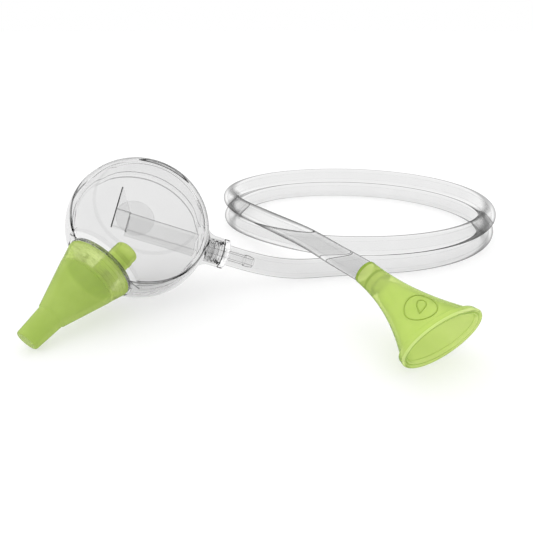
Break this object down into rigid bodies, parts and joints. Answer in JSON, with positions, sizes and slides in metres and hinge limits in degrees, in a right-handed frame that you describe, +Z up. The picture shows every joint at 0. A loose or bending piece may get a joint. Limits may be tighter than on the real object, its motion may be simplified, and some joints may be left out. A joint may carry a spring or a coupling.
{
  "type": "nasal aspirator",
  "caption": "Mouth-suction nasal aspirator: clear trap ball with a flat window and a green cone nozzle, joined by a coiled clear hose to a green oval mouthpiece.",
  "frame": {"origin": "middle of the footprint of the ball, its fittings and the mouthpiece, on the surface they lie on", "axes": "+Z up; +X from the ball towards the mouthpiece's end of the layout, along the longest extent; +Y away from the mouthpiece, towards the coiled hose"},
  "size_m": [0.1803, 0.1877, 0.049],
  "materials": {
    "clear_shell": "clear, polished",
    "clear_window": "clear, polished",
    "clear_duct": "clear, satin",
    "soft_disc": "translucent, matt",
    "green_nozzle": "translucent, satin",
    "seal_ring": "matt",
    "clear_connector": "clear, polished",
    "connector_ring": "matt",
    "clear_hose": "clear, smooth",
    "green_mouthpiece": "translucent, satin"
  },
  "bodies": {
    "ball": {"ball_bowl_shell": "clear_shell", "air_duct": "clear_duct", "inlet_disc": "soft_disc", "nozzle_seal": "seal_ring", "air_hose": "clear_hose"},
    "window": {"ball_window_shell": "clear_window"},
    "nozzle": {"nozzle": "green_nozzle"},
    "connector": {"hose_connector": "clear_connector", "connector_seal": "connector_ring"},
    "mouthpiece": {"mouthpiece": "green_mouthpiece"}
  },
  "joints": [
    {"name": "nozzle_pull", "type": "slide", "parent": "ball", "child": "nozzle", "axis": [-0.5032, -0.7689, -0.3944], "range_m": [0, 0.014]},
    {"name": "window_lift", "type": "slide", "parent": "ball", "child": "window", "axis": [0.3887, -0.609, 0.6914], "range_m": [0, 0.012]},
    {"name": "connector_turn", "type": "hinge", "parent": "ball", "child": "connector", "pos_m": [-0.01025, 0.02202, 0.01274], "axis": [0.9139, 0.1595, -0.3733], "range_deg": [0, 90]},
    {"name": "mouthpiece_twist", "type": "hinge", "parent": "ball", "child": "mouthpiece", "pos_m": [0.03716, -0.0061, 0.018], "axis": [0.559, -0.7866, -0.2622], "range_deg": [-180, 180]}
  ]
}
